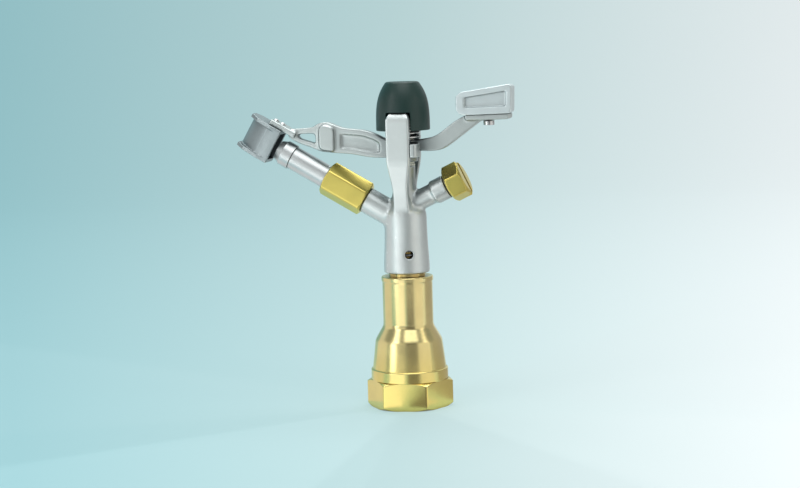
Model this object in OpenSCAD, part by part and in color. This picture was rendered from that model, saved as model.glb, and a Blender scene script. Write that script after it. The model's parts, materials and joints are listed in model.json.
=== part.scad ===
// Impact sprinkler with two nozzles: a fixed threaded inlet sleeve, a head that turns in it on a
// spring-loaded bearing, and a drive arm that swings under a torsion spring and strikes the head.
// Millimetres. +Z is up, the origin is the centre of the inlet's lower face, the range nozzle points
// to -X and the spreader nozzle to +X.

/* [Inlet sleeve] */
// Width across the flats of the inlet hexagon
hex_af = 43; // [42:0.5:45]
// Height of the inlet hexagon
hex_h = 15.5; // [12:0.5:16]
// Diameter of the inlet thread's wall
inlet_d = 33.3; // [30.4:0.1:34]
// Length of the inlet thread
inlet_depth = 18; // [16:0.5:18]
// Outer diameter of the bearing sleeve
sleeve_d = 28.5; // [27:0.1:30]
// Height of the sleeve's shoulder below the head
sleeve_h = 74.5; // [72:0.5:80]

/* [Spindle and bearing] */
// Outer diameter of the spindle tube
spindle_d = 17; // [16:0.1:17.4]
// Waterway through the spindle tube
spindle_bore = 13.8; // [11:0.1:14]
// Diameter of the flange at the spindle's lower end
flange_d = 28.4; // [26:0.1:29]
// How far the head can be pressed down against the bearing spring
press_gap = 2; // [1.5:0.1:2.5]

/* [Head] */
// Outer diameter of the head's skirt at its lower edge
skirt_d = 26; // [25:0.1:27]
// Angle of the range nozzle above the horizon
range_angle = 30; // [29:0.5:31]
// Angle of the spreader nozzle above the horizon
spreader_angle = 26; // [22:0.5:28]
// Width of the bridge's legs
leg_w = 13.2; // [12:0.1:14]
// Distance of the legs' outer faces from the centre
leg_r = 17.2; // [16.6:0.1:18]

/* [Nozzles] */
// Outer diameter of the range tube
tube_d = 13.5; // [12:0.1:13.6]
// Width across the flats of the range coupling
coupling_af = 18; // [17.5:0.1:19]
// Diameter of the range nozzle's orifice
range_orifice = 6; // [4:0.1:7]
// Diameter of the spreader nozzle's orifice
spreader_orifice = 3.2; // [2.4:0.1:4]
// Width across the flats of the spreader nozzle
spreader_af = 19; // [17:0.5:20]

/* [Drive arm] */
// Diameter of the pivot pin
pin_d = 5; // [4:0.1:5]
// Outer diameter of the arm's hub
hub_d = 16; // [14:0.5:17]
// Thickness of the arm beside the hub
arm_t = 6; // [5:0.1:6.4]

/* [Hidden] */
$fn = 64;

eps = 0.01;
fit = 0.05;          // radial clearance of parts that are screwed or pushed together
hex_turn = 4.5;       // how the inlet hexagon is turned about Z

// Heights, from the inlet upwards
collar_h = 22;       // top of the collar above the hexagon
cone_h = 38;         // top of the long taper
flare_h = 46.5;        // where the sleeve becomes a plain cylinder
shoulder_z = 28;     // the sleeve's inner shoulder, which the washers bear on
washer_t = 1.2;
seal_t = 2;
flange_t = 3;
skirt_z = sleeve_h + press_gap;
neck_z = sleeve_h + 4.5;
seat_z = sleeve_h + 21.5;
spindle_top = seat_z + 8;
range_z = sleeve_h + 30.3;
spreader_z = sleeve_h + 38.7;
pedestal_z = sleeve_h + 62.5;
window_z = sleeve_h + 89;      // underside of the bridge's crosspiece
bridge_z = sleeve_h + 92.8;    // top of the bridge's crosspiece
cap_z = sleeve_h + 82.5;
cap_top = sleeve_h + 109.8;

// Stations along the range nozzle's axis, from the vertical axis
branch_s = 25.5;
branch_end_s = 35;
coupling_s = [26, 52];
rib_s = [36.2, 38.7];
tube_s = [38.8, 80];
nozzle_s = [75, 84.5];
deflector_s = [86.5, 107.5];
rivet_s = [89, 93.4];
rivet_r = 1;

// Stations along the spreader nozzle's axis
boss_s = 19;
boss_end_s = 27;
spreader_s = [28.2, 38.6];

// Arm heights
hub_z = pedestal_z + 2.4;
hub_top = pedestal_z + 14.6;
bushing_flange = 1.2;
arm_spring_z = [pedestal_z + 16.7, window_z];
pin_base = pedestal_z - 13;
pin_top = sleeve_h + 103.5;
nut_z = bridge_z + 1.05;

// ---- shared shapes ----

module ring(d_out, d_in, z0, z1) {
    translate([0, 0, z0]) difference() {
        cylinder(d = d_out, h = z1 - z0);
        translate([0, 0, -1]) cylinder(d = d_in, h = z1 - z0 + 2);
    }
}

module rod(r, z0, z1) {
    translate([0, 0, z0]) cylinder(r = r, h = z1 - z0);
}

// A hexagonal bar with its corners turned down at both ends
module chamfered_hex(af, z0, z1, chamfer) {
    corner = af / 2 / cos(30);
    intersection() {
        translate([0, 0, z0]) cylinder(r = corner, h = z1 - z0, $fn = 6);
        rotate_extrude() polygon([
            [0, z0], [corner - 1.8 * chamfer, z0], [corner - 0.2, z0 + chamfer],
            [corner - 0.2, z1 - chamfer], [corner - 1.8 * chamfer, z1], [0, z1],
        ]);
    }
}

function arc(c, r, a0, a1, n = 8) = [
    for (i = [0:n]) let (a = a0 + (a1 - a0) * i / n) [c[0] + r * cos(a), c[1] + r * sin(a)]
];

// A closed outline with its corners rounded off, over up to reach along both edges of a corner
function rounded(points, reach, n = 4) = [
    for (i = [0:len(points) - 1])
        let (
            here = points[i],
            back = points[(i + len(points) - 1) % len(points)] - here,
            ahead = points[(i + 1) % len(points)] - here,
            span = min(reach, 0.45 * norm(back), 0.45 * norm(ahead)),
            start = here + back * span / norm(back),
            end = here + ahead * span / norm(ahead)
        )
        for (k = [0:n]) let (t = k / n) (1 - t) * (1 - t) * start + 2 * t * (1 - t) * here + t * t * end
];

// A closed outline from its right half, listed upwards
function mirrored(half) = concat(
    half, [for (i = [len(half) - 1:-1:0]) [-half[i][0], half[i][1]]]
);

// Local +Z runs along a nozzle's axis, from its crossing with the vertical axis
module along_range() {
    translate([0, 0, range_z]) rotate([0, range_angle - 90, 0]) children();
}

module along_spreader() {
    translate([0, 0, spreader_z]) rotate([0, 90 - spreader_angle, 0]) children();
}

// At both rivets, with local Z across the spoon's upper plate from height t above the nozzle's axis
module at_rivets(t) {
    along_range() for (s = rivet_s) translate([t, 0, s]) rotate([0, 90, 0]) children();
}

// An outline in the XZ plane, extruded to both sides of it
module in_nozzle_plane(width) {
    rotate([90, 0, 0]) linear_extrude(height = width, center = true) children();
}

// A closed tube swept along points, with a ring of corners at each
module sweep(centres, normals, binormals, wire_r, sides = 8) {
    n = len(centres);
    points = [
        for (i = [0:n - 1], k = [0:sides - 1])
            centres[i] + wire_r * (cos(360 * k / sides) * normals[i] + sin(360 * k / sides) * binormals[i])
    ];
    walls = [
        for (i = [0:n - 2], k = [0:sides - 1]) let (l = (k + 1) % sides)
            [i * sides + k, (i + 1) * sides + k, (i + 1) * sides + l, i * sides + l]
    ];
    ends = [
        [for (k = [0:sides - 1]) k],
        [for (k = [sides - 1:-1:0]) (n - 1) * sides + k],
    ];
    polyhedron(points = points, faces = concat(walls, ends), convexity = 10);
}

// Height of a coil spring's wire after a degrees, with its first and last turns closed
function coil_z(a, turns, z0, z1, wire) =
    let (closed = 1.02 * wire, t = a / 360, rest = z1 - z0 - 2 * closed)
    t <= 1 ? z0 + closed * t
    : t >= turns - 1 ? z1 - closed * (turns - t)
    : z0 + closed + rest * (t - 1) / (turns - 2);

module coil_spring(mean_r, wire, z0, z1, turns, start = 0, per_turn = 20) {
    steps = turns * per_turn;
    angles = [for (i = [0:steps]) 360 * i / per_turn];
    sweep(
        [for (a = angles) [
            mean_r * cos(a + start), mean_r * sin(a + start),
            coil_z(a, turns, z0 + wire / 2, z1 - wire / 2, wire)
        ]],
        [for (a = angles) [cos(a + start), sin(a + start), 0]],
        [for (a = angles) [0, 0, 1]],
        wire / 2
    );
}

// ---- inlet and bearing ----

module inlet_sleeve() {
    r = sleeve_d / 2;
    collar_r = 21.9;
    color("goldenrod") difference() {
        union() {
            rotate([0, 0, hex_turn]) chamfered_hex(hex_af, 0, hex_h, 1.4);
            rotate_extrude() polygon([
                [0, 1], [hex_af / 2 - 0.5, 1], [hex_af / 2 - 0.5, hex_h],
                [collar_r - 0.3, hex_h], [collar_r, hex_h + 0.3], [collar_r, collar_h - 0.5],
                [collar_r - 0.5, collar_h], [collar_r - 0.9, collar_h],
                [19, cone_h], [18.4, cone_h + 1.2], [r + 0.4, flare_h - 0.8], [r, flare_h + 0.6],
                [r, sleeve_h - 3.2], [r + 0.45, sleeve_h - 2.6], [r + 0.45, sleeve_h - 0.5],
                [r, sleeve_h], [10.3, sleeve_h], [10.3, neck_z - 0.4], [9.9, neck_z], [0, neck_z],
            ]);
        }
        rod(inlet_d / 2, -1, inlet_depth);
        rod(15, 0, shoulder_z);
        rod(spindle_d / 2 + fit, 0, neck_z + 1);
    }
}

module sleeve_washer() {
    color("ivory") ring(28, spindle_d + 0.3, shoulder_z - washer_t, shoulder_z);
}

module seal_washer() {
    color("dimgray") ring(28, spindle_d + 0.2, shoulder_z - washer_t - seal_t, shoulder_z - washer_t);
}

module flange_washer() {
    z = shoulder_z - washer_t - seal_t;
    color("ivory") ring(28, spindle_d + 0.1, z - washer_t, z);
}

module spindle_tube() {
    flange_z = shoulder_z - 2 * washer_t - seal_t;
    color("goldenrod") difference() {
        union() {
            rod(spindle_d / 2, flange_z - flange_t, spindle_top);
            ring(flange_d, spindle_bore, flange_z - flange_t, flange_z);
        }
        rod(spindle_bore / 2, flange_z - flange_t - 1, spindle_top + 1);
        translate([0, 0, flange_z - flange_t - eps])
            cylinder(r1 = spindle_bore / 2 + 1.4, r2 = spindle_bore / 2, h = 2.4);
    }
}

module thrust_washer() {
    color("silver") ring(20.4, spindle_d + 0.2, neck_z, neck_z + washer_t);
}

module bearing_spring() {
    color("silver") coil_spring(9.55, 1.5, neck_z + washer_t, seat_z - washer_t, 6);
}

module spring_seat() {
    color("silver") ring(20.8, spindle_d + 0.1, seat_z - washer_t, seat_z);
}

module spindle_o_ring() {
    color("dimgray") translate([0, 0, spindle_top + 0.75])
        rotate_extrude() translate([7.7, 0]) circle(r = 0.72);
}

// ---- head ----

// Barrel, dome and pedestal of the head, turned about the vertical axis
module head_barrel() {
    rotate_extrude() polygon(concat(
        [[0, skirt_z], [skirt_d / 2 - 0.5, skirt_z], [skirt_d / 2, skirt_z + 0.5],
         [skirt_d / 2, skirt_z + 4], [12.2, seat_z], [11.9, sleeve_h + 34]],
        arc([5.9, sleeve_h + 34], 6, 8, 62, 6),
        [[7, sleeve_h + 47], [6.2, sleeve_h + 53], [6.2, pedestal_z - 0.4], [5.8, pedestal_z],
         [0, pedestal_z]]
    ));
}

// The bridge seen from the side: two legs and the crosspiece
module bridge_side() {
    in_y = leg_r - 4.4;
    outer = concat(
        [[10.5, sleeve_h + 33], [11.4, sleeve_h + 41]],
        [[leg_r - 0.85, pedestal_z - 1.9], [leg_r - 0.3, pedestal_z + 0.2], [leg_r, pedestal_z + 3.4]],
        arc([leg_r - 5, bridge_z - 5], 5, 0, 90, 6)
    );
    inner = concat(
        [[5, sleeve_h + 38], [7.6, sleeve_h + 46]],
        [[in_y - 0.8, pedestal_z - 2.2], [in_y - 0.25, pedestal_z], [in_y, pedestal_z + 2.6]],
        arc([in_y - 3, window_z - 3], 3, 0, 90, 5)
    );
    rotate([90, 0, 90]) linear_extrude(height = 40, center = true) difference() {
        polygon(mirrored(outer));
        polygon(mirrored(inner));
    }
}

// The bridge seen from the front: narrow at the foot, wide above
module bridge_front() {
    w = leg_w / 2;
    half = [
        [4.8, sleeve_h + 31], [4.1, sleeve_h + 47], [4.4, sleeve_h + 52], [w - 0.3, sleeve_h + 64],
        [w, sleeve_h + 67], [w, bridge_z - 4], [w - 0.5, bridge_z - 2], [w - 2, bridge_z],
        [w - 4.5, bridge_z + 1],
    ];
    in_nozzle_plane(60) polygon(rounded(mirrored(half), 4));
}

module head_casting() {
    color("lightgray") difference() {
        union() {
            head_barrel();
            intersection() {
                bridge_side();
                bridge_front();
            }
            rod(9.6, window_z, bridge_z);
            along_range() {
                rod(7.5, 0, branch_s);
                rod(7, 0, branch_end_s);
            }
            along_spreader() {
                rod(5.8, 0, boss_s + 1);
                rod(6.9, boss_s, boss_end_s);
            }
        }
        rod(10.65, skirt_z - 1, seat_z);
        rod(spindle_d / 2 + fit, seat_z - 1, spindle_top + 0.03);
        rod(8.45, spindle_top - 1, spindle_top + 1.5);
        rod(7.4, spindle_top, sleeve_h + 38);
        translate([0, 0, sleeve_h + 38]) cylinder(r1 = 7.4, r2 = 3.5, h = 4);
        along_range() rod(4.4, 0, branch_end_s + 1);
        along_spreader() {
            rod(2.8, 0, boss_end_s + 1);
            rod(4.6, boss_end_s - 8, boss_end_s + 1);
        }
        rod(pin_d / 2 + 0.02, pin_base, pedestal_z + 1);
        rod(pin_d / 2 + fit, window_z - 1, bridge_z + 1);
        // weep hole of the bearing spring's chamber
        translate([0, 0, skirt_z + 11]) rotate([0, 90, -71]) rod(2.4, 0, 20);
    }
}

// ---- nozzles ----

module range_gasket() {
    color("dimgray") along_range() ring(13.8, 10, branch_end_s, rib_s[0]);
}

module range_coupling() {
    color("goldenrod") along_range() difference() {
        chamfered_hex(coupling_af, coupling_s[0], coupling_s[1], 1);
        rod(7 + fit, coupling_s[0] - 1, rib_s[0]);
        rod(5, coupling_s[0], coupling_s[1]);
        rod(tube_d / 2 + fit, rib_s[1], coupling_s[1] + 1);
    }
}

module range_tube() {
    color("gainsboro") along_range() difference() {
        union() {
            rod(tube_d / 2, tube_s[0], nozzle_s[0] - 0.2);
            rod(tube_d / 2 - 0.5, tube_s[0], tube_s[1]);
        }
        rod(5, tube_s[0] - 1, tube_s[1] + 1);
    }
}

// Four vanes that take the swirl out of the stream
module stream_straightener() {
    color("white") along_range() translate([0, 0, 44]) intersection() {
        for (a = [0, 90]) rotate([0, 0, a]) translate([-5, -0.45, 0]) cube([10, 0.9, 22]);
        rod(5 - fit, -1, 23);
    }
}

module range_nozzle() {
    color("darkgray") along_range() difference() {
        union() {
            rod(7.4, nozzle_s[0], nozzle_s[1] - 3.5);
            translate([0, 0, nozzle_s[1] - 3.5]) cylinder(r1 = 7.1, r2 = 5.4, h = 3.5);
        }
        rod(tube_d / 2 - 0.5 + fit, nozzle_s[0] - 1, tube_s[1] + 0.05);
        translate([0, 0, tube_s[1]]) cylinder(r1 = 5, r2 = range_orifice / 2, h = 2.5);
        rod(range_orifice / 2, tube_s[1] + 2, nozzle_s[1] + 1);
    }
}

module spreader_gasket() {
    color("dimgray") along_spreader() ring(13.4, 9.3, boss_end_s, spreader_s[0]);
}

module spreader_nozzle() {
    z1 = spreader_s[1];
    color("goldenrod") along_spreader() difference() {
        union() {
            rotate([0, 0, 12]) chamfered_hex(spreader_af, spreader_s[0], z1, 1.2);
            rod(4.6 - fit, boss_end_s - 7.5, spreader_s[0] + 1);
        }
        rod(2.8, boss_end_s - 8, spreader_s[0]);
        translate([0, 0, spreader_s[0] - eps])
            cylinder(r1 = 2.8, r2 = spreader_orifice / 2, h = 5);
        rod(spreader_orifice / 2, spreader_s[0] + 4, z1 + 1);
        // spreading slot across the front face
        translate([-12, -spreader_orifice / 2, z1 - 1.8]) cube([24, spreader_orifice, 3]);
    }
}

// ---- arm pivot ----

module pivot_pin() {
    color("silver") union() {
        rod(pin_d / 2, pin_base, pin_top - 0.6);
        translate([0, 0, pin_top - 0.6]) cylinder(r1 = pin_d / 2, r2 = pin_d / 2 - 0.6, h = 0.6);
    }
}

module pivot_washer() {
    color("ivory") ring(12.4, pin_d + 0.1, pedestal_z + 0.02, pedestal_z + 1.15);
}

module lower_bushing() {
    color("ivory") difference() {
        union() {
            rod(5.9, hub_z - bushing_flange, hub_z);
            rod(4, hub_z - bushing_flange, hub_z + 5);
        }
        rod(pin_d / 2 + fit, hub_z - 3, hub_z + 6);
    }
}

module upper_bushing() {
    color("ivory") difference() {
        union() {
            rod(5.9, hub_top, hub_top + bushing_flange);
            rod(4, hub_top - 5, hub_top + bushing_flange);
        }
        rod(pin_d / 2 + fit, hub_top - 6, hub_top + 3);
    }
}

module arm_washer() {
    z = hub_top + bushing_flange;
    color("silver") ring(20, pin_d + 0.2, z, z + 0.9);
}

module arm_spring() {
    color("silver") coil_spring(8.6, 1.4, arm_spring_z[0], arm_spring_z[1], 5, start = 40, per_turn = 24);
}

module pin_washer() {
    color("silver") ring(10, pin_d + 0.2, bridge_z, bridge_z + 1);
}

module pin_nut() {
    color("silver") difference() {
        chamfered_hex(8, nut_z, nut_z + 4, 0.6);
        rod(pin_d / 2 + 0.02, nut_z - 1, nut_z + 5);
    }
}

// Cover of the arm spring: a domed cup with a slot for each leg and a socket on the pin's end
module spring_cap() {
    h = cap_top - cap_z;
    // Dome whose radius falls away ever faster towards the top
    function dome(r, drop, stations) = [for (t = stations) [r - drop * pow(t, 3.6), cap_z + h * t]];
    outer = dome(15.2, 6.1, [0:0.06:0.96]);
    inner = dome(13.1, 5.6, [0:0.09:0.9]);
    color("dimgray") difference() {
        union() {
            difference() {
                rotate_extrude() polygon(concat(
                    [[0, cap_z]], outer,
                    [[9.5, cap_top - 0.5], [8.9, cap_top - 0.15], [8.2, cap_top], [0, cap_top]]
                ));
                rotate_extrude() polygon(concat(
                    [[0, cap_z - 1], [13.1, cap_z - 1]], inner, [[8, cap_top - 2], [0, cap_top - 2]]
                ));
            }
            rod(4.4, nut_z + 4.3, cap_top - 1);
        }
        translate([-leg_w / 2 - 0.25, -20, cap_z - 1]) cube([leg_w + 0.5, 40, bridge_z - cap_z + 1.05]);
        rod(9.7, cap_z - 1, bridge_z + 0.05);
        rod(pin_d / 2 + 0.02, nut_z, pin_top + 0.5);
    }
}

// ---- drive arm ----

// Beam from the hub towards the range nozzle's end
module arm_beam() {
    z = sleeve_h;
    in_nozzle_plane(arm_t) difference() {
        polygon(rounded([
            [-2, z + 67], [-18, z + 67.3], [-30, z + 69.7], [-39, z + 70.2], [-48, z + 71.2],
            [-53, z + 73.6], [-60, z + 75.8], [-66.5, z + 79.6], [-66.5, z + 84.3], [-59, z + 84.4],
            [-52, z + 85], [-49, z + 87.2], [-44, z + 88], [-40, z + 86.4], [-35, z + 84.3],
            [-22, z + 83], [-16, z + 80.8], [-9, z + 77.1], [-2, z + 77.1],
        ], 5));
        polygon(rounded([
            [-50.5, z + 75.6], [-53.5, z + 76.6], [-60, z + 78.6], [-61.5, z + 80.6],
            [-60, z + 81.3], [-52, z + 81.6], [-50.5, z + 80.4],
        ], 1.2));
    }
}

// Side pockets that leave the beam a web with a rim
module beam_pockets() {
    z = sleeve_h;
    for (side = [-1, 1]) translate([0, side * (arm_t / 2 + 1.4), 0])
        in_nozzle_plane(5.4) polygon(rounded([
            [-13, z + 70], [-18, z + 70.1], [-30, z + 72.4], [-36, z + 72.8], [-36, z + 81.3],
            [-23, z + 80], [-17, z + 78], [-13, z + 75.8],
        ], 1.5));
}

// Tail from the hub up to the seat of the counterweight
module arm_tail() {
    z = sleeve_h;
    in_nozzle_plane(arm_t) polygon(rounded([
        [2, z + 71], [17, z + 70.6], [22.5, z + 71.4], [27, z + 74], [42.9, z + 85.75],
        [45, z + 87.15], [61, z + 87.8], [61, z + 91], [36, z + 90.4], [30, z + 87.2],
        [21, z + 80.3], [17, z + 78.4], [9, z + 77.1], [2, z + 77.1],
    ], 5));
    in_nozzle_plane(11) polygon([
        [37, z + 87.6], [61, z + 88], [61.5, z + 89], [61.5, z + 91], [36.5, z + 90.4], [36, z + 89],
    ]);
}

module drive_arm() {
    color("lightgray") difference() {
        union() {
            rod(hub_d / 2, hub_z, hub_top);
            difference() {
                arm_beam();
                beam_pockets();
            }
            // knuckle where the beam opens into its loop
            in_nozzle_plane(9.6) polygon(rounded([
                [-39.5, sleeve_h + 71.4], [-46.8, sleeve_h + 72.4], [-48, sleeve_h + 74],
                [-48, sleeve_h + 84.4], [-46, sleeve_h + 86], [-42, sleeve_h + 85.4],
                [-39.5, sleeve_h + 83.4],
            ], 1.4));
            arm_tail();
            // striker, which meets the front leg's flank at rest
            translate([0, 0, hub_z + 3]) linear_extrude(height = 7.5) polygon([
                [leg_w / 2 + fit, 0.7 - leg_r], [9.4, 0.7 - leg_r], [10.7, 2 - leg_r], [11, -8],
                [7.6, 0], [0, 0], [0, -6], [leg_w / 2 + fit, -8.6],
            ]);
            // pad over the deflector
            along_range() translate([11, -5, 79]) cube([3, 10, 16.6]);
        }
        rod(4 + 0.02, hub_z - 1, hub_top + 1);
        at_rivets(10) cylinder(r = rivet_r + fit, h = 5);
        translate([49, 0, sleeve_h + 84]) cylinder(r = 1.7, h = 10);
    }
}

// Spoon that the range stream drives: two plates, a curved vane between them and a side fin
module deflector() {
    s0 = deflector_s[0];
    s1 = deflector_s[1];
    vane_r = 21;
    // plan of the spoon in the plane of the stream: x is across the stream, y along it
    module plates_plan() {
        polygon([[-7.2, s0], [7.2, s0], [8.4, s0 + 2], [8.4, s1 - 4], [6, s1], [-1, s1], [-5.5, s1 - 5],
                 [-7.6, s0 + 7]]);
    }
    module vane_plan() {
        intersection() {
            difference() {
                translate([vane_r - 7.4, s0 + 1]) circle(r = vane_r);
                translate([vane_r - 7.4, s0 + 1]) circle(r = vane_r - 2.2);
            }
            translate([-9, s0]) square([15.2, s1 - s0]);
        }
    }
    module slab(t0, t1) {
        // local X of the nozzle frame is the slab's thickness
        along_range() translate([t0, 0, 0]) rotate([90, 0, 90]) linear_extrude(height = t1 - t0) children();
    }
    color("gray") difference() {
        union() {
            slab(8.8, 11) plates_plan();
            slab(-9.5, -7.4) plates_plan();
            slab(-9, 10) vane_plan();
            slab(-9, 10) translate([6.2, s0]) square([2, 6.5]);
        }
        at_rivets(8) cylinder(r = rivet_r + fit, h = 5);
    }
}

module deflector_rivets() {
    color("silver") at_rivets(7.8) {
        cylinder(r1 = 1.3, r2 = 1.8, h = 1);
        cylinder(r = rivet_r, h = 7);
        translate([0, 0, 6.2]) intersection() {
            cylinder(r = 1.8, h = 1);
            translate([0, 0, -1]) sphere(r = 2.06);
        }
    }
}

// Cast weight, wedge-shaped and hollowed on both flanks
module counterweight() {
    z = sleeve_h;
    color("lightgray") difference() {
        in_nozzle_plane(12) polygon(rounded([
            [31.5, z + 93], [33.5, z + 91], [36.6, z + 90.45], [61.5, z + 91.05], [62.6, z + 92.2],
            [63, z + 106], [61.6, z + 107.3], [34, z + 103.3], [31.5, z + 101],
        ], 1));
        for (side = [-1, 1]) translate([0, side * 6, 0]) in_nozzle_plane(3.2) polygon(rounded([
            [36, z + 94.5], [59.5, z + 95], [60, z + 103.6], [36, z + 100.2],
        ], 1.2));
        translate([49, 0, z + 88]) cylinder(r = 1.7, h = 9);
    }
}

module counterweight_screw() {
    z = sleeve_h;
    color("silver") translate([49, 0, 0]) difference() {
        union() {
            rod(1.65, z + 86, z + 96);
            rod(3.1, z + 84.6, z + 87.1);
        }
        translate([-4, -0.6, z + 84]) cube([8, 1.2, 1.8]);
    }
}

inlet_sleeve();
sleeve_washer();
seal_washer();
spindle_tube();
flange_washer();
thrust_washer();
bearing_spring();
spring_seat();
head_casting();
spindle_o_ring();
range_gasket();
range_coupling();
range_tube();
stream_straightener();
range_nozzle();
spreader_gasket();
spreader_nozzle();
pivot_pin();
pivot_washer();
drive_arm();
lower_bushing();
upper_bushing();
arm_washer();
arm_spring();
pin_washer();
pin_nut();
spring_cap();
deflector();
deflector_rivets();
counterweight();
counterweight_screw();
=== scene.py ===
import bmesh
import bpy
import json
import math
import numpy as np
from mathutils import Matrix, Quaternion, Vector


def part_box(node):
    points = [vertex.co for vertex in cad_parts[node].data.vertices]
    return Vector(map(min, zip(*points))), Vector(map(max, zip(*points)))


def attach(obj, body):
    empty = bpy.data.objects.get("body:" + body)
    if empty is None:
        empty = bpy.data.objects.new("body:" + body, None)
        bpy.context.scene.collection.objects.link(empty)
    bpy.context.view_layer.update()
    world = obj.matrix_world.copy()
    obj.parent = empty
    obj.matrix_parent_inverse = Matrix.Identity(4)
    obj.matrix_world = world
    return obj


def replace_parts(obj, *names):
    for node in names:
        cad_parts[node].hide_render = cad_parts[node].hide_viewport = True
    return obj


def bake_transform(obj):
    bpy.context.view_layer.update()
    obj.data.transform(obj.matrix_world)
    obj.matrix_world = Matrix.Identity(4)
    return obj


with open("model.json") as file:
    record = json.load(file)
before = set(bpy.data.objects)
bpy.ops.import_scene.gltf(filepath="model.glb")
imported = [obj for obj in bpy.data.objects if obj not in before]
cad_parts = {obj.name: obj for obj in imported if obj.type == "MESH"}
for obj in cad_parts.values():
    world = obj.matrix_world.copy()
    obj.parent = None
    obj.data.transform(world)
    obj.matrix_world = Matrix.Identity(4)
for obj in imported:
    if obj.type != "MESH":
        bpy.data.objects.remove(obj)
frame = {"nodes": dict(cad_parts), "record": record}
NODES = frame["nodes"]
SLOT_OF = {p["node"]: p["material_slot"] for p in frame["record"]["subparts"]}
BODY_OF = {n: b for b, ns in frame["record"]["behaviour"]["bodies"].items() for n in ns}
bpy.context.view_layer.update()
MM = 0.001
RANGE_RISE, SPREADER_RISE = 30, 26  # degrees of the two nozzles above the level


def box_mm(node):
    """A CAD node's box, in millimetres."""
    low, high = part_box(node)
    return low / MM, high / MM


# ---- where things are, from the CAD ----

SLEEVE_TOP = box_mm("thrust_washer")[0].z - 4.5
RANGE_DIR = Vector((-math.cos(math.radians(RANGE_RISE)), 0, math.sin(math.radians(RANGE_RISE))))
RANGE_Z = SLEEVE_TOP + 30.3
SPREADER_DIR = Vector((math.cos(math.radians(SPREADER_RISE)), 0, math.sin(math.radians(SPREADER_RISE))))
SPREADER_Z = SLEEVE_TOP + 38.7
RANGE_TILT, SPREADER_TILT = math.radians(RANGE_RISE - 90), math.radians(90 - SPREADER_RISE)
RANGE_AXIS = Matrix.Translation((0, 0, RANGE_Z)) @ Matrix.Rotation(RANGE_TILT, 4, "Y")
SPREADER_AXIS = Matrix.Translation((0, 0, SPREADER_Z)) @ Matrix.Rotation(SPREADER_TILT, 4, "Y")


def along(co, direction, height):
    """Distance along a nozzle's axis, and across it, of points in millimetres."""
    rel = co - np.array([0, 0, height])
    s = rel @ np.array(direction)
    return s, np.linalg.norm(rel - s[:, None] * np.array(direction), axis=1)


# ---- materials ----

class Shader:
    """A small helper that adds and links shader nodes."""

    def __init__(self, name):
        self.material = bpy.data.materials.new(name)
        self.material.use_nodes = True
        self.tree = self.material.node_tree
        self.bsdf = self.tree.nodes["Principled BSDF"]
        coord = self.add("ShaderNodeTexCoord")
        self.coord = coord.outputs["Object"]

    def add(self, kind, inputs=None, **settings):
        node = self.tree.nodes.new(kind)
        for key, value in settings.items():
            setattr(node, key, value)
        for key, value in (inputs or {}).items():
            if isinstance(value, bpy.types.NodeSocket):
                self.tree.links.new(value, node.inputs[key])
            else:
                node.inputs[key].default_value = value
        return node

    def noise(self, scale, detail=3.0, rough=0.55):
        node = self.add("ShaderNodeTexNoise", {
            "Vector": self.coord, "Scale": scale, "Detail": detail, "Roughness": rough})
        return node.outputs["Fac"]

    def ramp(self, fac, stops):
        node = self.add("ShaderNodeValToRGB", {"Fac": fac})
        elements = node.color_ramp.elements
        while len(elements) < len(stops):
            elements.new(0.5)
        for element, (position, value) in zip(elements, stops):
            element.position = position
            element.color = (value, value, value, 1) if isinstance(value, (int, float)) else (*value, 1)
        return node.outputs["Color"]

    def mix(self, fac, a, b):
        node = self.add("ShaderNodeMix", data_type="RGBA")
        for socket, value in ((node.inputs[0], fac), (node.inputs[6], a), (node.inputs[7], b)):
            if isinstance(value, bpy.types.NodeSocket):
                self.tree.links.new(value, socket)
            else:
                socket.default_value = value if isinstance(value, (int, float)) else (*value, 1)
        return node.outputs[2]

    def math(self, operation, a, b):
        return self.add("ShaderNodeMath", {0: a, 1: b}, operation=operation).outputs[0]

    def bump(self, height, strength, distance, normal=None):
        inputs = {"Height": height, "Strength": strength, "Distance": distance}
        if normal:
            inputs["Normal"] = normal
        return self.add("ShaderNodeBump", inputs).outputs["Normal"]

    def set(self, **inputs):
        for key, value in inputs.items():
            socket = self.bsdf.inputs[key.replace("_", " ")]
            if isinstance(value, bpy.types.NodeSocket):
                self.tree.links.new(value, socket)
            else:
                socket.default_value = value
        return self


def cast_metal(name, light, shade_colour, rough=(0.36, 0.5)):
    """Die-cast light alloy: faint flow marks, fine sandy grain, and painted shade that darkens it in its hollows and
    where its parts meet.
    """
    sh = Shader(name)
    cloud = sh.noise(60, 4)
    grain = sh.noise(2600, 2)
    tone = sh.mix(sh.ramp(cloud, [(0.3, 0.0), (0.72, 1.0)]), light, tuple(c * 0.9 for c in light))
    # painted shade: ambient occlusion within 30 mm darkens the colour in hollows, crevices and where branches meet,
    # as if in shade
    occlusion_shade = sh.add("ShaderNodeAmbientOcclusion", {"Distance": 0.03}, samples=4).outputs["AO"]
    colour = sh.mix(sh.ramp(occlusion_shade, [(0.3, 1.0), (0.9, 0.0)]), tone, shade_colour)
    edges = sh.ramp(sh.add("ShaderNodeNewGeometry").outputs["Pointiness"], [(0.51, 0.0), (0.56, 1.0)])
    worn = sh.math("MULTIPLY", edges, sh.ramp(sh.noise(300, 3), [(0.3, 0.25), (0.65, 1.0)]))
    colour = sh.mix(worn, colour, tuple(min(1, c * 1.15) for c in light))
    roughness = sh.add("ShaderNodeMapRange", {
        "Value": sh.math("SUBTRACT", cloud, sh.math("MULTIPLY", worn, 0.8)), "To Min": rough[0], "To Max": rough[1]})
    normal = sh.bump(grain, 0.16, 0.00012, sh.bump(sh.noise(260, 3), 0.12, 0.0006))
    sh.set(Base_Color=colour, Metallic=1.0, Roughness=roughness.outputs["Result"], Normal=normal)
    return sh.material


LATHE_PITCH = 0.00035


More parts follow.
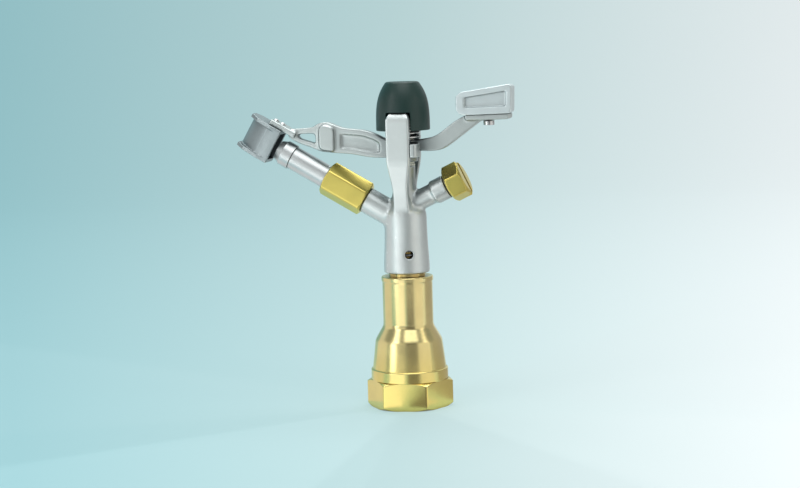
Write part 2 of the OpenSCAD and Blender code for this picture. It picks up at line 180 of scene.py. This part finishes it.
def turned_metal(name, light, shade_colour, rough=(0.16, 0.3), turn=0.0, streaks=True, foot=None):
    """Metal turned on a lathe about local Z, tilted by turn radians about Y, with painted shade in its creases; foot
    is its colour at the base, a painted shade tint.
    """
    sh = Shader(name)
    local = sh.add("ShaderNodeMapping", {"Vector": sh.coord, "Rotation": (0, turn, 0)}).outputs["Vector"]
    stain = sh.noise(55, 5, 0.6)
    rings = sh.add("ShaderNodeTexWave", {
        "Vector": local, "Scale": 2 * math.pi / (20 * LATHE_PITCH), "Distortion": 0.6, "Detail": 1.0,
        "Detail Scale": 40.0}, wave_type="BANDS", bands_direction="Z").outputs["Fac"]
    # painted shade tint: below 12 mm the colour is the foot's deeper gold, blending to the plain colour at 40 mm,
    # for the shaded lower part
    if foot:
        height = sh.add("ShaderNodeSeparateXYZ", {"Vector": sh.coord}).outputs["Z"]
        rise = sh.add("ShaderNodeMapRange", {"Value": height, "From Min": 0.012, "From Max": 0.04})
        light = sh.mix(rise.outputs["Result"], foot, light)
    tone = sh.mix(sh.ramp(stain, [(0.35, 0.14), (0.75, 0.0)]), light, (0, 0, 0))
    # painted shade: ambient occlusion within 4 mm darkens creases and corners as if in shade
    occlusion_shade = sh.add("ShaderNodeAmbientOcclusion", {"Distance": 0.004}, samples=4).outputs["AO"]
    colour = sh.mix(sh.ramp(occlusion_shade, [(0.2, 1.0), (0.75, 0.0)]), tone, shade_colour)
    roughness = sh.add("ShaderNodeMapRange", {"Value": stain, "To Min": rough[0], "To Max": rough[1]})
    normal = sh.bump(sh.noise(180, 2), 0.05, 0.0004)
    if streaks:
        normal = sh.bump(rings, 0.05, 0.00002, normal)
    sh.set(Base_Color=colour, Metallic=1.0, Roughness=roughness.outputs["Result"], Normal=normal)
    return sh.material


def moulded(name, colour, rough):
    """Plastic or rubber with a fine moulded grain."""
    sh = Shader(name)
    cloud = sh.noise(70, 3)
    tone = sh.mix(cloud, colour, tuple(c * 0.8 for c in colour))
    roughness = sh.add("ShaderNodeMapRange", {"Value": cloud, "To Min": rough - 0.05, "To Max": rough + 0.08})
    sh.set(Base_Color=tone, Roughness=roughness.outputs["Result"], Normal=sh.bump(sh.noise(1400, 2), 0.08, 0.0001))
    return sh.material


# the nozzles' gold, and the darker tone of their painted shade in creases
NOZZLE_GOLD, NOZZLE_SHADE = (0.78, 0.64, 0.17), (0.26, 0.16, 0.03)
# in each metal the second colour is the tone of its painted shade in hollows and creases; the brass's foot is a
# painted shade tint at its base
MATERIALS = {
    "brass": turned_metal("brass", (0.86, 0.72, 0.34), (0.30, 0.19, 0.05), foot=(0.90, 0.73, 0.24)),
    "nozzle_brass": turned_metal("nozzle_brass", NOZZLE_GOLD, NOZZLE_SHADE, (0.22, 0.36), -RANGE_TILT),
    "cast_alloy": cast_metal("cast_alloy", (0.69, 0.74, 0.73), (0.17, 0.20, 0.21)),
    "arm_alloy": cast_metal("arm_alloy", (0.56, 0.61, 0.60), (0.14, 0.17, 0.18)),
    "tube_alloy": turned_metal("tube_alloy", (0.68, 0.71, 0.71), (0.25, 0.27, 0.28), (0.32, 0.44), -RANGE_TILT),
    "spoon_alloy": cast_metal("spoon_alloy", (0.36, 0.41, 0.42), (0.10, 0.11, 0.12), (0.38, 0.55)),
    "stainless": turned_metal("stainless", (0.66, 0.66, 0.66), (0.2, 0.2, 0.2), (0.18, 0.3)),
    "spring_wire": turned_metal("spring_wire", (0.58, 0.58, 0.58), (0.12, 0.12, 0.12), (0.2, 0.32), streaks=False),
    "black_plastic": moulded("black_plastic", (0.005, 0.034, 0.028), 0.42),
    "nylon": moulded("nylon", (0.80, 0.78, 0.68), 0.42),
    "seal_rubber": moulded("seal_rubber", (0.018, 0.018, 0.018), 0.6),
}


# ---- mesh helpers ----

def new_piece(name, mesh, body, slot):
    piece = bpy.data.objects.new(name, mesh)
    bpy.context.scene.collection.objects.link(piece)
    mesh.materials.clear()
    mesh.materials.append(MATERIALS[slot])
    mesh.polygons.foreach_set("use_smooth", [True] * len(mesh.polygons))
    if body:
        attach(piece, body)
    return piece


def evaluated_mesh(obj):
    graph = bpy.context.evaluated_depsgraph_get()
    return bpy.data.meshes.new_from_object(obj.evaluated_get(graph))


def mesh_from(name, points, faces):
    mesh = bpy.data.meshes.new(name)
    mesh.from_pydata([tuple(p) for p in points], [], faces)
    mesh.update()
    return mesh


def remeshed(node, voxel, axis=None):
    """A copy of a CAD node's mesh as an even net of small quads, which lies square to the given axis."""
    copy = NODES[node].data.copy()
    square = Matrix.Scale(1 / MM, 4) if axis is None else axis.inverted() @ Matrix.Scale(1 / MM, 4)
    copy.transform(square)
    bm = bmesh.new()
    bm.from_mesh(copy)
    bmesh.ops.remove_doubles(bm, verts=bm.verts, dist=2e-4)
    bm.to_mesh(copy)
    bm.free()
    helper = bpy.data.objects.new("helper", copy)
    bpy.context.scene.collection.objects.link(helper)
    modifier = helper.modifiers.new("remesh", "REMESH")
    modifier.mode, modifier.voxel_size = "VOXEL", voxel
    mesh = evaluated_mesh(helper)
    mesh.transform(square.inverted())
    bpy.data.objects.remove(helper)
    bpy.data.meshes.remove(copy)
    return mesh


class Relax:
    """Smooths an even net of quads: fills its creases with fillets and takes the sharpness off its edges."""

    def __init__(self, mesh):
        self.mesh = mesh
        n = len(mesh.vertices)
        co = np.empty(n * 3)
        mesh.vertices.foreach_get("co", co)
        self.co = co.reshape(-1, 3) / MM
        edges = np.empty(len(mesh.edges) * 2, int)
        mesh.edges.foreach_get("vertices", edges)
        edges = edges.reshape(-1, 2)
        self.a = np.concatenate([edges[:, 0], edges[:, 1]])
        self.b = np.concatenate([edges[:, 1], edges[:, 0]])
        self.count = np.maximum(np.bincount(self.a, minlength=n), 1)[:, None]
        totals = np.empty(len(mesh.polygons), int)
        mesh.polygons.foreach_get("loop_total", totals)
        loops = np.empty(totals.sum(), int)
        mesh.loops.foreach_get("vertex_index", loops)
        starts = np.concatenate([[0], np.cumsum(totals)[:-1]])
        self.quads = loops[starts[:, None] + np.array([0, 1, 2, 3])[None, :] % totals[:, None]]

    def drift(self):
        n = len(self.co)
        mean = np.stack([np.bincount(self.a, self.co[self.b, k], n) for k in range(3)], 1) / self.count
        return mean - self.co

    def normals(self):
        q = self.co[self.quads]
        face = np.cross(q[:, 2] - q[:, 0], q[:, 3] - q[:, 1])
        out = np.zeros_like(self.co)
        for corner in range(4):
            for k in range(3):
                out[:, k] += np.bincount(self.quads[:, corner], face[:, k], len(self.co))
        return out / np.maximum(np.linalg.norm(out, axis=1), 1e-12)[:, None]

    def fill(self, passes, free):
        for _ in range(passes):
            normal, drift = self.normals(), self.drift()
            out = np.einsum("ij,ij->i", drift, normal)
            self.co += normal * (0.9 * np.maximum(out, 0) * free)[:, None]
            self.co += (drift - normal * out[:, None]) * (0.3 * free)[:, None]
        return self

    def soften(self, passes, free):
        for _ in range(passes):
            self.co += 0.5 * self.drift() * free[:, None]
        return self

    def done(self):
        self.mesh.vertices.foreach_set("co", (self.co * MM).ravel())
        self.mesh.update()
        return self.mesh


def swept(name, centres, normals, binormals, radii, sides=12):
    """A tube along centres, closed at both ends with flat caps."""
    points, faces = [], []
    turns = [2 * math.pi * k / sides for k in range(sides)]
    for c, n, b, r in zip(centres, normals, binormals, radii):
        points += [c + r * (math.cos(t) * n + math.sin(t) * b) for t in turns]
    rings = len(centres)
    for i in range(rings - 1):
        for k in range(sides):
            l = (k + 1) % sides
            faces.append((i * sides + k, (i + 1) * sides + k, (i + 1) * sides + l, i * sides + l))
    faces.append(tuple(range(sides)))
    faces.append(tuple((rings - 1) * sides + k for k in reversed(range(sides))))
    return mesh_from(name, points, faces)


def coil(name, mean_r, wire, z0, z1, turns, start, per_turn=72):
    """A coil spring with closed end turns, in millimetres, on the vertical axis."""
    closed = 1.02 * wire
    low, high = z0 + wire / 2, z1 - wire / 2
    pitch = (high - low - 2 * closed) / (turns - 2)
    centres, normals, radii = [], [], []
    steps = int(turns * per_turn)
    for i in range(steps + 1):
        t = i / per_turn
        if t <= 1:
            z = low + closed * t
        elif t >= turns - 1:
            z = high - closed * (turns - t)
        else:
            z = low + closed + pitch * (t - 1)
        a = math.radians(start) + 2 * math.pi * t
        radial = Vector((math.cos(a), math.sin(a), 0))
        centres.append((radial * mean_r + Vector((0, 0, z))) * MM)
        normals.append(radial)
        end = min(i, steps - i)
        radii.append(wire / 2 * MM * (1 if end > 2 else (0.7, 0.9, 0.98)[end]))
    return swept(name, centres, normals, [Vector((0, 0, 1))] * len(centres), radii, 14)


def outline(corners, radius, steps=5):
    """Rounds the corners of a closed (r, z) outline, with a point beside each so that flats shade flat.

    A corner is (r, z), or (r, z, radius) where it has a rounding of its own.
    """
    points = [np.array(corner[:2], float) for corner in corners]
    out = []
    for i, corner in enumerate(corners):
        here = points[i]
        back, ahead = points[i - 1] - here, points[(i + 1) % len(points)] - here
        before, after = np.linalg.norm(back), np.linalg.norm(ahead)
        back, ahead = back / before, ahead / after
        reach = min(corner[2] if len(corner) > 2 else radius, 0.42 * before, 0.42 * after)
        start, end = here + back * reach, here + ahead * reach
        out.append(here + back * reach * 1.15)
        for t in np.linspace(0, 1, steps + 1):
            out.append((1 - t) ** 2 * start + 2 * t * (1 - t) * here + t * t * end)
        out.append(here + ahead * reach * 1.15)
    return out


def turned(name, node, corners, axis=None, flats=None, radius=0.25, steps=240):
    """Replaces a machined CAD node by a finely turned copy; flats is (z0, z1, across / 2, turn, inner r)."""
    rows = outline(corners, radius)
    if flats:
        dense = []
        for here, after in zip(rows, rows[1:] + rows[:1]):
            dense.append(here)
            if min(abs(after - here)) > 0.2 and min(here[0], after[0]) > flats[4] - 1:
                dense += [here + (after - here) * t for t in np.linspace(0, 1, 12)[1:-1]]
        rows = dense
    turns = np.linspace(0, 2 * math.pi, steps, endpoint=False)
    points = []
    for r, z in rows:
        radii, heights = np.full(steps, r), np.full(steps, z)
        if flats and flats[0] - 0.01 <= z <= flats[1] + 0.01 and r > flats[4]:
            sector = np.mod(turns - math.radians(flats[3]), math.pi / 3) - math.pi / 6
            flat = flats[2] / np.cos(sector)
            share = np.clip(0.5 + 0.5 * (flat - r) / 0.3, 0, 1)
            radii = flat + (r - flat) * share - 0.3 * share * (1 - share)
            heights = z + 0.15 * (r - radii) * (1 - 2 * (z - flats[0]) / (flats[1] - flats[0]))
        points += [(q * math.cos(t), q * math.sin(t), h) for q, t, h in zip(radii, turns, heights)]
    faces = []
    for i in range(len(rows)):
        here, after = i * steps, (i + 1) % len(rows) * steps
        for k in range(steps):
            l = (k + 1) % steps
            faces.append((here + k, here + l, after + l, after + k))
    mesh = mesh_from(name, points, faces)
    mesh.transform(Matrix.Scale(MM, 4) @ (axis or Matrix.Identity(4)))
    piece = new_piece(name, mesh, BODY_OF[node], SLOT_OF[node])
    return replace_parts(piece, node)


def crisp(node):
    """Gives a machined CAD node small bevels and clean shading."""
    obj = NODES[node]
    mesh = obj.data
    if mesh.attributes.get("custom_normal"):
        mesh.attributes.remove(mesh.attributes["custom_normal"])
    mesh.polygons.foreach_set("use_smooth", [True] * len(mesh.polygons))
    weld = obj.modifiers.new("weld", "WELD")
    weld.merge_threshold = 2e-7
    flat = obj.modifiers.new("flat", "DECIMATE")
    flat.decimate_type, flat.angle_limit = "DISSOLVE", math.radians(0.6)
    bevel = obj.modifiers.new("bevel", "BEVEL")
    bevel.width, bevel.segments, bevel.limit_method = 0.25 * MM, 2, "ANGLE"
    bevel.angle_limit = math.radians(28)
    bevel.use_clamp_overlap = True
    bevel.miter_outer = "MITER_ARC"
    weighted = obj.modifiers.new("normals", "WEIGHTED_NORMAL")
    weighted.keep_sharp = True


# ---- the object's own parts ----

for node, obj in NODES.items():
    obj.data.materials.clear()
    obj.data.materials.append(MATERIALS[SLOT_OF[node]])
spreader_brass = turned_metal("spreader_brass", NOZZLE_GOLD, NOZZLE_SHADE, (0.22, 0.36), -SPREADER_TILT)
NODES["spreader_nozzle"].data.materials[0] = spreader_brass

REPLACED = {
    "bearing_spring", "arm_spring", "head_casting", "drive_arm", "deflector", "counterweight",
    "inlet_sleeve", "range_coupling", "range_tube", "range_nozzle", "spring_cap", "spreader_nozzle",
}
for node in NODES:
    if node not in REPLACED | {"spindle_o_ring"}:
        crisp(node)

top = SLEEVE_TOP
turned("sleeve_body", "inlet_sleeve", [
    (20.9, 0, 0.2), (22.31, 0, 0.3), (24.63, 1.4), (24.63, 14.1), (22.31, 15.5), (21.6, 15.5), (21.9, 15.8),
    (21.9, 21.5, 0.5), (21.3, 22, 0.5), (20.95, 22, 0.3), (19, 38, 1.2), (18.4, 39.2, 1.2),
    (14.65, 45.7, 1.4), (14.25, 47.1, 1.4), (14.25, top - 3.2, 0.6), (14.7, top - 2.6, 0.5),
    (14.7, top - 0.5, 0.4), (14.25, top, 0.4), (10.3, top), (10.3, top + 4.1), (9.9, top + 4.5),
    (8.55, top + 4.5), (8.55, 28), (15, 28), (15, 18), (16.65, 18), (16.65, 0, 0.4),
], flats=(0, 15.5, 21.5, 4.5, 20), steps=360)
turned("coupling_body", "range_coupling", [
    (8.59, 26), (10.19, 27), (10.19, 51), (8.59, 52), (6.8, 52), (6.8, 38.7), (5, 38.7), (5, 36.2),
    (7.05, 36.2), (7.05, 26),
], RANGE_AXIS, flats=(26, 52, 9, 0, 7.5))
turned("tube_body", "range_tube", [
    (6.75, 38.8), (6.75, 74.8), (6.25, 74.8), (6.25, 80), (5, 80), (5, 38.8),
], RANGE_AXIS)
turned("nozzle_body", "range_nozzle", [
    (7.4, 75), (7.4, 81), (7.1, 81), (5.4, 84.5), (3, 84.5), (3, 82.5), (4.96, 80.05), (6.3, 80.05),
    (6.3, 75),
], RANGE_AXIS)


def cast_head():
    """The head casting with filleted branches and softened edges."""
    net = Relax(remeshed("head_casting", 0.34))
    co = net.co
    radial = np.hypot(co[:, 0], co[:, 1])
    s_range, r_range = along(co, RANGE_DIR, RANGE_Z)
    s_spread, r_spread = along(co, SPREADER_DIR, SPREADER_Z)
    above = co[:, 2] - SLEEVE_TOP
    free = np.ones(len(co))
    # the bores, the branches' threaded ends, the pin's holes and the spring's seat stay as they are
    free[(radial < 11.1) & (above < 34)] = 0
    free[(radial < 8) & (above < 42.5)] = 0
    free[(s_range > 24.8) & (r_range < 9)] = 0
    free[(r_range < 4.9) & (s_range > 6) & (s_range < 40)] = 0
    free[(s_spread > 25.5) & (r_spread < 8)] = 0
    free[(r_spread < 4.9) & (s_spread > 8) & (s_spread < 40)] = 0
    free[(radial < 3.4) & (above > 45)] = 0
    free[(radial < 7) & (abs(above - 62.5) < 0.6)] = 0
    net.fill(84, free).soften(12, free)
    return new_piece("head_body", net.done(), "head", "cast_alloy")


head_body = cast_head()
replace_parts(head_body, "head_casting")


def cast_arm():
    """The arm with filleted pockets and softened edges; its bore and its seat for the spoon stay as they are."""
    net = Relax(remeshed("drive_arm", 0.28))
    co = net.co
    radial = np.hypot(co[:, 0], co[:, 1])
    s_range, _ = along(co, RANGE_DIR, RANGE_Z)
    free = np.ones(len(co))
    free[radial < 4.8] = 0
    free[(s_range > 78) & (co @ np.array((0.5, 0, 0.866)) - RANGE_Z * 0.866 < 11.5)] = 0
    net.fill(44, free).soften(10, free)
    return new_piece("arm_body", net.done(), "arm", "arm_alloy")


arm_body = cast_arm()
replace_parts(arm_body, "drive_arm")


def cast_piece(name, node, voxel, fill, soften, axis=None):
    """A cast or moulded node with filleted creases and softened edges."""
    net = Relax(remeshed(node, voxel, axis))
    free = np.ones(len(net.co))
    net.fill(fill, free).soften(soften, free)
    piece = new_piece(name, net.done(), BODY_OF[node], SLOT_OF[node])
    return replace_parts(piece, node)


weight_body = cast_piece("weight_body", "counterweight", 0.28, 12, 6)
# its second colour is the tone of its painted shade in hollows
weight_body.data.materials[0] = cast_metal("weight_alloy", (0.74, 0.82, 0.83), (0.20, 0.23, 0.24))
cast_piece("spoon_body", "deflector", 0.2, 12, 5, RANGE_AXIS)
cast_piece("cap_body", "spring_cap", 0.32, 6, 4)
spreader_body = cast_piece("spreader_body", "spreader_nozzle", 0.16, 3, 5, SPREADER_AXIS)
spreader_body.data.materials[0] = spreader_brass

low, high = box_mm("bearing_spring")
bearing_coil = new_piece("bearing_coil", coil(
    "bearing_coil", 9.55, 1.5, low.z, high.z, 6, 0), None, "spring_wire")
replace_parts(bearing_coil, "bearing_spring")
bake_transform(bearing_coil)

low, high = box_mm("arm_spring")
arm_coil = new_piece("arm_coil", coil("arm_coil", 8.6, 1.4, low.z, high.z, 5, 40), None, "spring_wire")
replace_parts(arm_coil, "arm_spring")
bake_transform(arm_coil)


def inlet_ridges(pitch=2.309, depth=1.28, root=16.62, z0=1.2, z1=17.4, per_turn=96):
    """The ridges of the female pipe thread: a rounded tooth that winds up the inlet's wall."""
    tooth = [(-0.5, 0.0), (-0.30, -0.35), (-0.12, -0.88), (0.0, -1.0), (0.12, -0.88), (0.30, -0.35), (0.5, 0.0)]
    points, faces = [], []
    steps = int((z1 - z0 - pitch) / pitch * per_turn)
    for i in range(steps + 1):
        a = 2 * math.pi * i / per_turn
        fade = min(1.0, i / 30, (steps - i) / 30)
        for along_z, inward in tooth:
            r = root + 0.02 + inward * depth * max(fade, 0.02)
            z = z0 + pitch * (0.5 + i / per_turn + along_z * 0.96)
            points.append((r * math.cos(a) * MM, r * math.sin(a) * MM, z * MM))
    k = len(tooth)
    for i in range(steps):
        for j in range(k):
            l = (j + 1) % k
            faces.append((i * k + j, (i + 1) * k + j, (i + 1) * k + l, i * k + l))
    faces.append(tuple(range(k)))
    faces.append(tuple(steps * k + j for j in reversed(range(k))))
    mesh = mesh_from("inlet_ridges", points, faces)
    bm = bmesh.new()
    bm.from_mesh(mesh)
    bmesh.ops.recalc_face_normals(bm, faces=bm.faces)
    bm.to_mesh(mesh)
    bm.free()
    return new_piece("inlet_ridges", mesh, "root", "brass")


inlet_ridges()


# ---- camera ----

AZIMUTH, ELEVATION, ROLL, DISTANCE = 12.5, 6.5, 1.6, 1.071
round_z, above_floor = math.radians(AZIMUTH), math.radians(ELEVATION)
right = Vector((math.cos(round_z), math.sin(round_z), 0))
front = Vector((math.sin(round_z), -math.cos(round_z), 0))
back = front * math.cos(above_floor) + Vector((0, 0, math.sin(above_floor)))
aim = Vector((0, 0, 0.0925)) - right * 0.0036
camera_data = bpy.data.cameras.new("camera")
camera_data.lens, camera_data.sensor_width = 85, 36
camera_data.clip_start, camera_data.clip_end = 0.01, 20
camera = bpy.data.objects.new("camera", camera_data)
bpy.context.scene.collection.objects.link(camera)
camera.location = aim + back * DISTANCE
camera.rotation_mode = "QUATERNION"
camera.rotation_quaternion = Quaternion(back, math.radians(-ROLL)) @ (-back).to_track_quat("-Z", "Y")
bpy.context.scene.camera = camera


# ---- stage and light ----

# the paper's colours at the left, middle and right of the view; the whitening to the right is painted light falling
# off to the left
PAPER_GLOW = ((0.32, 0.57, 0.61), (0.52, 0.70, 0.71), (0.84, 0.90, 0.91))  # left, middle and right of the view


def backdrop():
    """A pale floor that curves up into a pale wall; it glows a little, and is whiter to the right, a painted
    fall-off of light across it.
    """
    profile = [(-3.0, 0.0), (1.2, 0.0)]
    profile += [(1.2 + 0.8 * math.sin(t), 0.8 - 0.8 * math.cos(t)) for t in np.linspace(0.1, math.pi / 2, 16)]
    profile += [(2.0, 4.0)]
    points = [(x, y, z) for y, z in profile for x in (-4.0, 4.0)]
    faces = [(2 * i, 2 * i + 1, 2 * i + 3, 2 * i + 2) for i in range(len(profile) - 1)]
    mesh = mesh_from("backdrop", points, faces)
    mesh.polygons.foreach_set("use_smooth", [True] * len(mesh.polygons))
    obj = bpy.data.objects.new("backdrop", mesh)
    obj.rotation_euler = (0, 0, round_z)
    bpy.context.scene.collection.objects.link(obj)
    sh = Shader("paper")
    split = sh.add("ShaderNodeSeparateXYZ", {"Vector": sh.coord})
    spread = sh.math("MAXIMUM", sh.math("ADD", split.outputs["Y"], DISTANCE), 0.8)
    # painted light: the paper's glow and colour whiten from left to right
    shift = sh.add("ShaderNodeMapRange", {
        "Value": sh.math("DIVIDE", split.outputs["X"], spread), "From Min": -0.212, "From Max": 0.212})
    colour = sh.ramp(shift.outputs["Result"], [(0, PAPER_GLOW[0]), (0.5, PAPER_GLOW[1]), (1, PAPER_GLOW[2])])
    front = sh.add("ShaderNodeMapRange", {
        "Value": split.outputs["Y"], "From Min": -0.32, "From Max": -0.7}, interpolation_type="SMOOTHSTEP")
    colour = sh.mix(front.outputs["Result"], colour, (0.62, 0.73, 0.73))
    sh.set(Base_Color=sh.mix(0.7, colour, (0, 0, 0)), Roughness=0.9, Emission_Color=colour, Emission_Strength=0.72)
    mesh.materials.append(sh.material)


def card(name, bearing, spread, shape, glow, colour=(1, 1, 1)):
    """A wedge that shows in reflections only; shape lists (distance, height) along its middle."""
    half_width = math.tan(math.radians(spread))
    points = [(side * d * half_width, d, h) for d, h in shape for side in (-1, 1)]
    faces = [(2 * i, 2 * i + 1, 2 * i + 3, 2 * i + 2) for i in range(len(shape) - 1)]
    mesh = mesh_from(name, points, faces)
    obj = bpy.data.objects.new(name, mesh)
    obj.location = (0, 0, 0.001)
    obj.rotation_euler = (0, 0, math.radians(bearing - 180) + round_z)
    obj.visible_camera = obj.visible_shadow = obj.visible_diffuse = False
    bpy.context.scene.collection.objects.link(obj)
    sh = Shader(name)
    sh.set(Base_Color=(0, 0, 0, 1), Roughness=1.0, Specular_IOR_Level=0.0,
           Emission_Color=(*colour, 1), Emission_Strength=glow)
    mesh.materials.append(sh.material)


def softbox(name, bearing, distance, height, width, tall, energy, colour=(1, 1, 1), look=0.09):
    """An area light on the floor's polar grid; bearing is counted from the camera's side, to the right."""
    direction = math.radians(bearing - 90 + AZIMUTH)
    data = bpy.data.lights.new(name, "AREA")
    data.shape, data.size, data.size_y = "RECTANGLE", width, tall
    data.energy, data.color = energy, colour
    light = bpy.data.objects.new(name, data)
    light.location = (distance * math.cos(direction), distance * math.sin(direction), height)
    light.rotation_mode = "QUATERNION"
    light.rotation_quaternion = (Vector((0, 0, look)) - light.location).to_track_quat("-Z", "Y")
    bpy.context.scene.collection.objects.link(light)


backdrop()
card("bright_low", -36, 22, [(0.03, 0), (0.5, 0), (0.5, 0.036)], 1.42)
card("bright_high", -36, 22, [(0.5, 0.15), (0.5, 0.36)], 0.85)
card("dark_front", 10, 17, [(0.03, 0), (0.5, 0), (0.5, 0.006)], 0.18)
card("bright_front", 10, 17, [(0.5, 0.006), (0.5, 0.03)], 1.2)
card("dark_front_high", 10, 17, [(0.5, 0.05), (0.5, 0.4)], 0.18)
card("bright_right", 50, 21, [(0.03, 0), (0.5, 0), (0.5, 0.4)], 0.9, (1.0, 0.98, 0.95))
card("dim_right", 116, 32, [(0.03, 0), (0.5, 0), (0.5, 0.3)], 0.45)
card("dim_left", -105, 27, [(0.03, 0), (0.5, 0), (0.5, 0.3)], 0.8)
softbox("left_strip", -54, 0.55, 0.27, 0.20, 0.54, 1.0)
softbox("right_strip", 66, 0.55, 0.25, 0.14, 0.5, 0.4, (1.0, 0.95, 0.86))
softbox("top", 10, 0.5, 1.3, 1.0, 1.0, 6)
softbox("wall", 180, 0.5, 1.6, 1.4, 0.8, 14, look=0.6)

world = bpy.data.worlds.new("studio")
world.use_nodes = True
world.node_tree.nodes["Background"].inputs[0].default_value = (0.80, 0.88, 0.90, 1)
world.node_tree.nodes["Background"].inputs[1].default_value = 0.35
bpy.context.scene.world = world
bpy.context.scene.view_settings.view_transform = "Standard"
